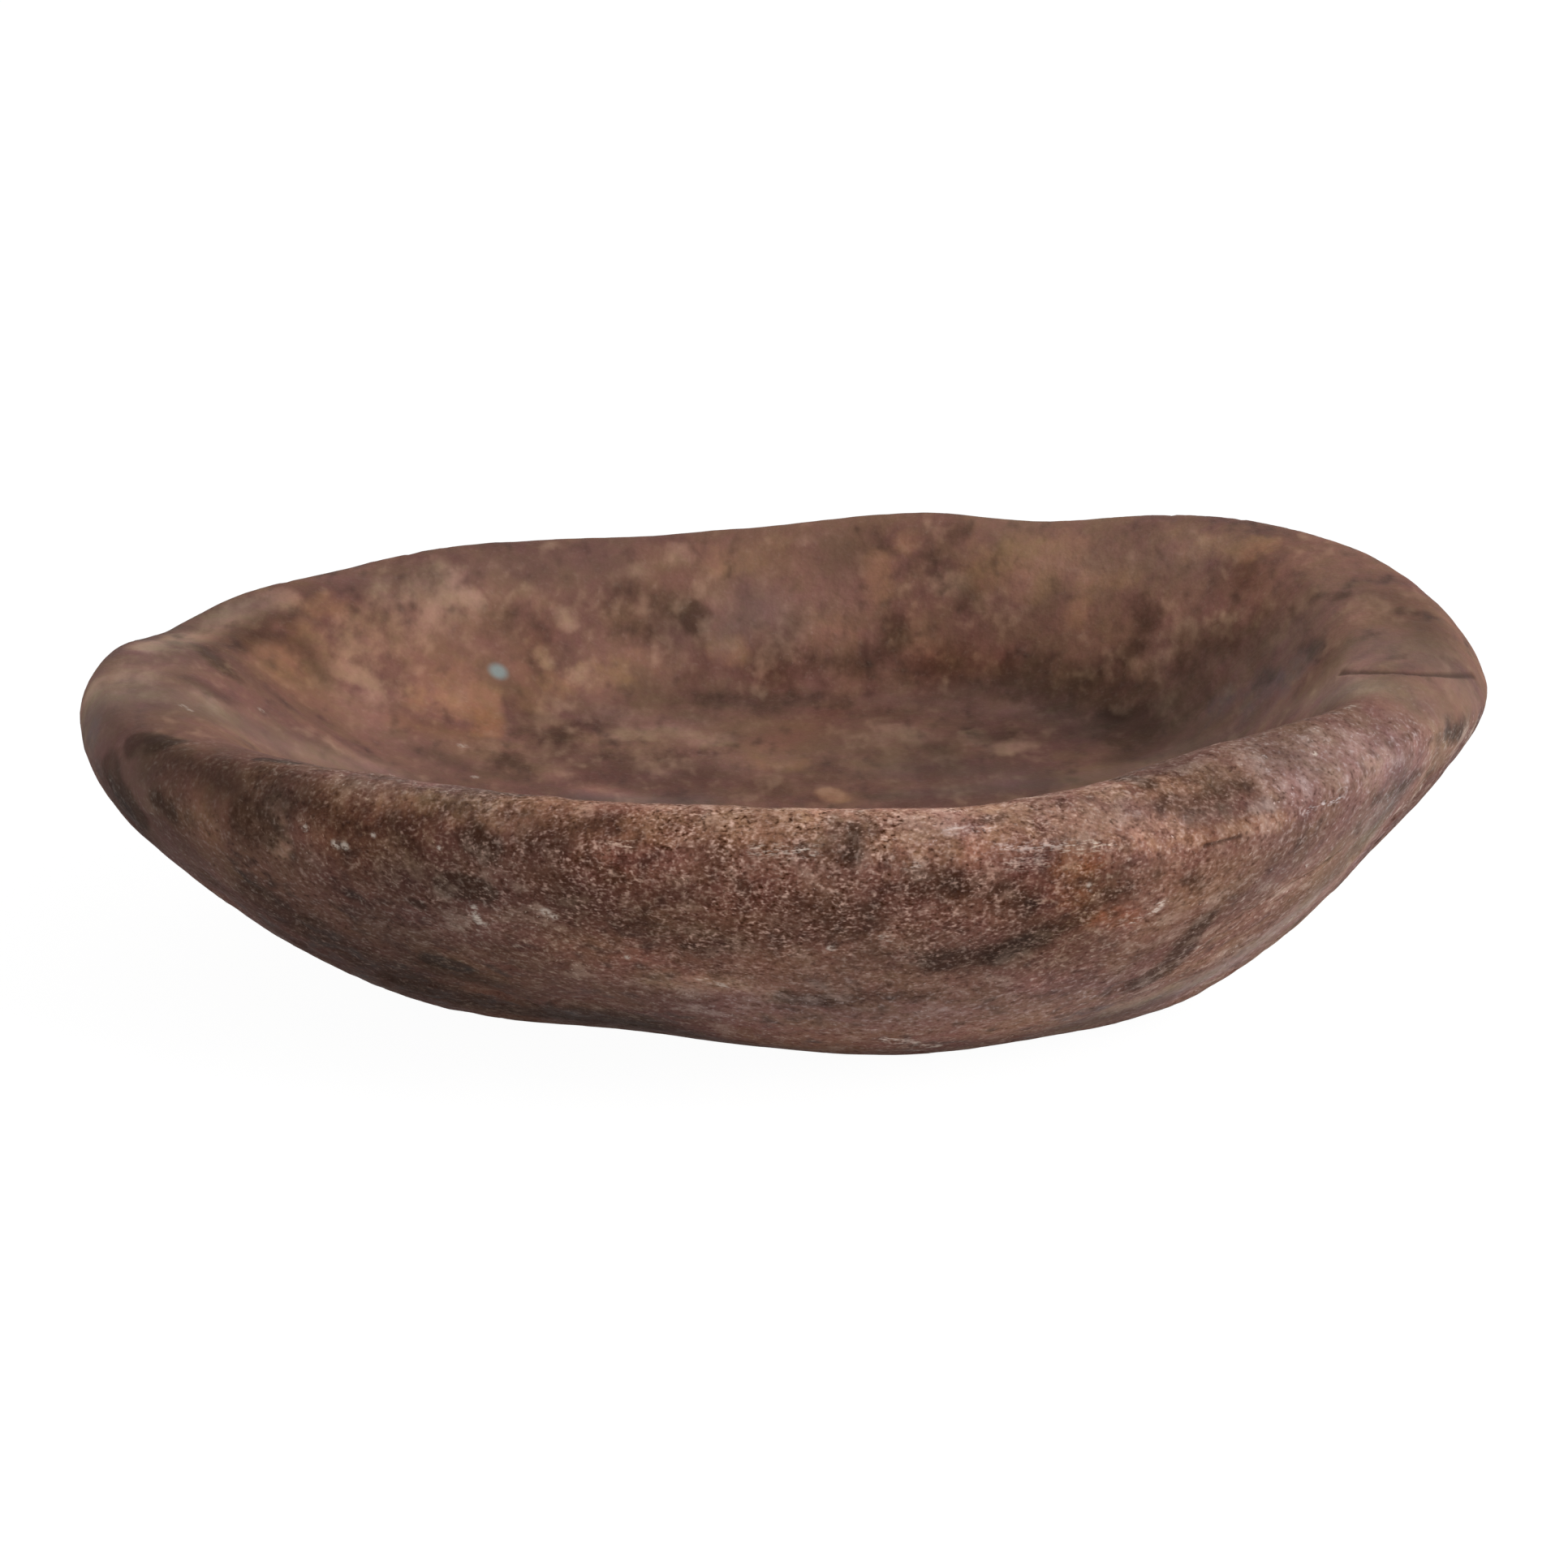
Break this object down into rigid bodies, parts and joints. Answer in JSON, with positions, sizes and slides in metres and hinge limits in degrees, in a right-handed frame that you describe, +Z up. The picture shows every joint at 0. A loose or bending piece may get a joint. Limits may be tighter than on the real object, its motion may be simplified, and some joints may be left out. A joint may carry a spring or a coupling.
{
  "type": "stone bowl",
  "caption": "Shallow egg-shaped hand-carved stone bowl with a thick rounded uneven rim, a wide lip at its ends and a small flat foot.",
  "frame": {"origin": "on the resting plane, under the middle of the bowl's box", "axes": "+X along the length towards the blunt end with the wide lip, +Y to the back, +Z up out of the hollow"},
  "size_m": [0.2404, 0.2056, 0.0603],
  "materials": {
    "stone": "matte"
  },
  "bodies": {
    "root": {"bowl": "stone"}
  },
  "joints": []
}
